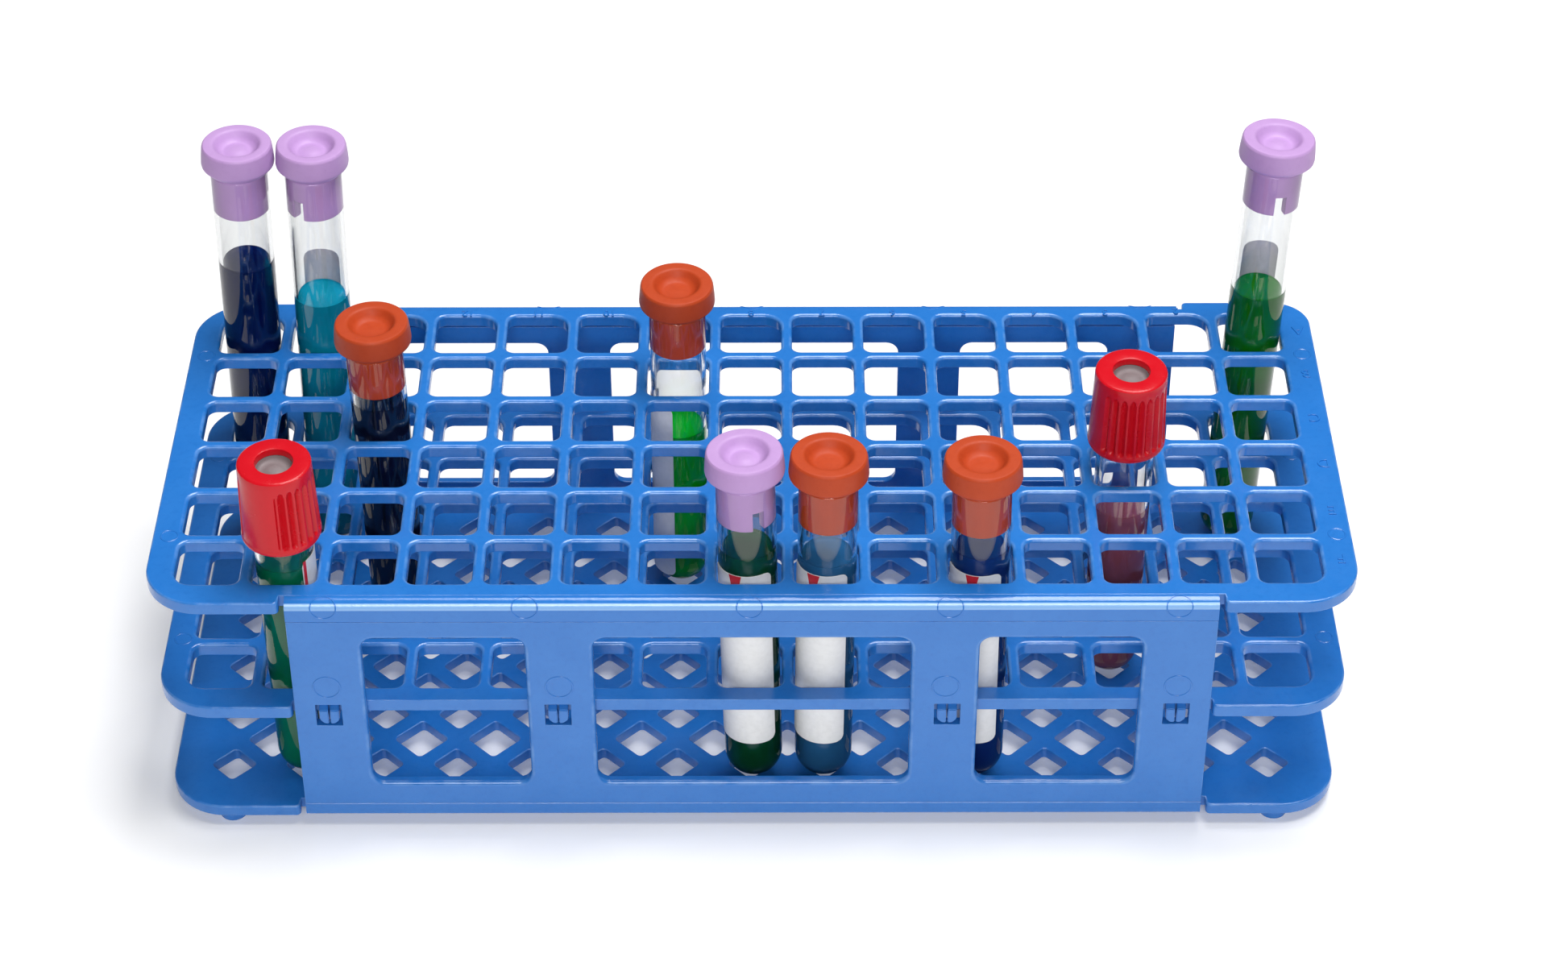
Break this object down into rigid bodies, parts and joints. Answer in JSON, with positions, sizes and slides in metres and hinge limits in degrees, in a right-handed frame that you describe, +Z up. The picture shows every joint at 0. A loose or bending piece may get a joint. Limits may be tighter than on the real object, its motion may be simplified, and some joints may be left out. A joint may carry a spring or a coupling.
{
  "type": "test tube rack",
  "caption": "Long rectangular rack of three rounded plates and two windowed side panels, holding stoppered round-bottom tubes upright in a grid of square wells.",
  "frame": {"origin": "on the floor under the middle of the rack, at the bottom centre of the whole box", "axes": "+X along the rack towards the end with well column 1, +Y towards row A, +Z up"},
  "size_m": [0.246, 0.103, 0.1124],
  "materials": {
    "rack_plastic": "moulded polypropylene, satin with a fine speckle",
    "clear_glass": "clear polished",
    "lavender_rubber": "smooth matte",
    "orange_rubber": "matte, pebbled in the dish",
    "grey_rubber": "smooth matte",
    "red_cap_plastic": "satin moulded, fluted skirt",
    "label_paper": "coated white paper with a red mark",
    "liquid_navy": "dyed water",
    "liquid_teal": "dyed water",
    "liquid_leaf_green": "dyed water",
    "liquid_bottle_green": "dyed water",
    "liquid_black_blue": "dyed water",
    "liquid_dusky_pink": "dyed water",
    "liquid_emerald": "dyed water",
    "liquid_steel_blue": "dyed water",
    "liquid_ink_blue": "dyed water"
  },
  "bodies": {
    "rack": {"top_plate": "rack_plastic", "middle_shelf": "rack_plastic", "bottom_plate": "rack_plastic", "front_panel": "rack_plastic", "rear_panel": "rack_plastic", "front_top_hinge": "rack_plastic", "front_bottom_hinge": "rack_plastic", "rear_top_hinge": "rack_plastic", "rear_bottom_hinge": "rack_plastic"},
    "tube_A15": {"tube_A15_glass": "clear_glass", "tube_A15_liquid": "liquid_navy"},
    "stopper_A15": {"tube_A15_stopper": "lavender_rubber"},
    "tube_A14": {"tube_A14_glass": "clear_glass", "tube_A14_liquid": "liquid_teal", "tube_A14_label": "label_paper"},
    "stopper_A14": {"tube_A14_stopper": "lavender_rubber"},
    "tube_A1": {"tube_A1_glass": "clear_glass", "tube_A1_liquid": "liquid_leaf_green", "tube_A1_label": "label_paper"},
    "stopper_A1": {"tube_A1_stopper": "lavender_rubber"},
    "tube_B9": {"tube_B9_glass": "clear_glass", "tube_B9_liquid": "liquid_bottle_green", "tube_B9_label": "label_paper"},
    "stopper_B9": {"tube_B9_stopper": "orange_rubber"},
    "tube_C13": {"tube_C13_glass": "clear_glass", "tube_C13_liquid": "liquid_black_blue"},
    "stopper_C13": {"tube_C13_stopper": "orange_rubber"},
    "tube_D3": {"tube_D3_glass": "clear_glass", "tube_D3_liquid": "liquid_dusky_pink"},
    "cap_D3": {"tube_D3_cap": "red_cap_plastic", "tube_D3_plug": "grey_rubber"},
    "tube_F14": {"tube_F14_glass": "clear_glass", "tube_F14_liquid": "liquid_emerald", "tube_F14_label": "label_paper"},
    "cap_F14": {"tube_F14_cap": "red_cap_plastic", "tube_F14_plug": "grey_rubber"},
    "tube_F8": {"tube_F8_glass": "clear_glass", "tube_F8_liquid": "liquid_bottle_green", "tube_F8_label": "label_paper"},
    "stopper_F8": {"tube_F8_stopper": "lavender_rubber"},
    "tube_F7": {"tube_F7_glass": "clear_glass", "tube_F7_liquid": "liquid_steel_blue", "tube_F7_label": "label_paper"},
    "stopper_F7": {"tube_F7_stopper": "orange_rubber"},
    "tube_F5": {"tube_F5_glass": "clear_glass", "tube_F5_liquid": "liquid_ink_blue", "tube_F5_label": "label_paper"},
    "stopper_F5": {"tube_F5_stopper": "orange_rubber"}
  },
  "joints": [
    {"name": "tube_A15_lift", "type": "slide", "parent": "rack", "child": "tube_A15", "axis": [0.02, -0.005, 0.9998], "range_m": [0, 0.06]},
    {"name": "stopper_A15_pull", "type": "slide", "parent": "tube_A15", "child": "stopper_A15", "axis": [0.02, -0.005, 0.9998], "range_m": [0, 0.014]},
    {"name": "tube_A14_lift", "type": "slide", "parent": "rack", "child": "tube_A14", "axis": [0.0215, -0.008, 0.9997], "range_m": [0, 0.06]},
    {"name": "stopper_A14_pull", "type": "slide", "parent": "tube_A14", "child": "stopper_A14", "axis": [0.0215, -0.008, 0.9997], "range_m": [0, 0.014]},
    {"name": "tube_A1_lift", "type": "slide", "parent": "rack", "child": "tube_A1", "axis": [0.035, 0.011, 0.9993], "range_m": [0, 0.06]},
    {"name": "stopper_A1_pull", "type": "slide", "parent": "tube_A1", "child": "stopper_A1", "axis": [0.035, 0.011, 0.9993], "range_m": [0, 0.014]},
    {"name": "tube_B9_lift", "type": "slide", "parent": "rack", "child": "tube_B9", "axis": [0.004, -0.022, 0.9998], "range_m": [0, 0.06]},
    {"name": "stopper_B9_pull", "type": "slide", "parent": "tube_B9", "child": "stopper_B9", "axis": [0.004, -0.022, 0.9998], "range_m": [0, 0.014]},
    {"name": "tube_C13_lift", "type": "slide", "parent": "rack", "child": "tube_C13", "axis": [-0.015, 0.004, 0.9999], "range_m": [0, 0.06]},
    {"name": "stopper_C13_pull", "type": "slide", "parent": "tube_C13", "child": "stopper_C13", "axis": [-0.015, 0.004, 0.9999], "range_m": [0, 0.014]},
    {"name": "tube_D3_lift", "type": "slide", "parent": "rack", "child": "tube_D3", "axis": [0.003, -0.028, 0.9996], "range_m": [0, 0.06]},
    {"name": "cap_D3_pull", "type": "slide", "parent": "tube_D3", "child": "cap_D3", "axis": [0.003, -0.028, 0.9996], "range_m": [0, 0.014]},
    {"name": "tube_F14_lift", "type": "slide", "parent": "rack", "child": "tube_F14", "axis": [0.001, -0.031, 0.9995], "range_m": [0, 0.06]},
    {"name": "cap_F14_pull", "type": "slide", "parent": "tube_F14", "child": "cap_F14", "axis": [0.001, -0.031, 0.9995], "range_m": [0, 0.014]},
    {"name": "tube_F8_lift", "type": "slide", "parent": "rack", "child": "tube_F8", "axis": [-0.0195, 0.022, 0.9996], "range_m": [0, 0.06]},
    {"name": "stopper_F8_pull", "type": "slide", "parent": "tube_F8", "child": "stopper_F8", "axis": [-0.0195, 0.022, 0.9996], "range_m": [0, 0.014]},
    {"name": "tube_F7_lift", "type": "slide", "parent": "rack", "child": "tube_F7", "axis": [0.009, 0.022, 0.9997], "range_m": [0, 0.06]},
    {"name": "stopper_F7_pull", "type": "slide", "parent": "tube_F7", "child": "stopper_F7", "axis": [0.009, 0.022, 0.9997], "range_m": [0, 0.014]},
    {"name": "tube_F5_lift", "type": "slide", "parent": "rack", "child": "tube_F5", "axis": [-0.0075, 0.022, 0.9997], "range_m": [0, 0.06]},
    {"name": "stopper_F5_pull", "type": "slide", "parent": "tube_F5", "child": "stopper_F5", "axis": [-0.0075, 0.022, 0.9997], "range_m": [0, 0.014]}
  ]
}
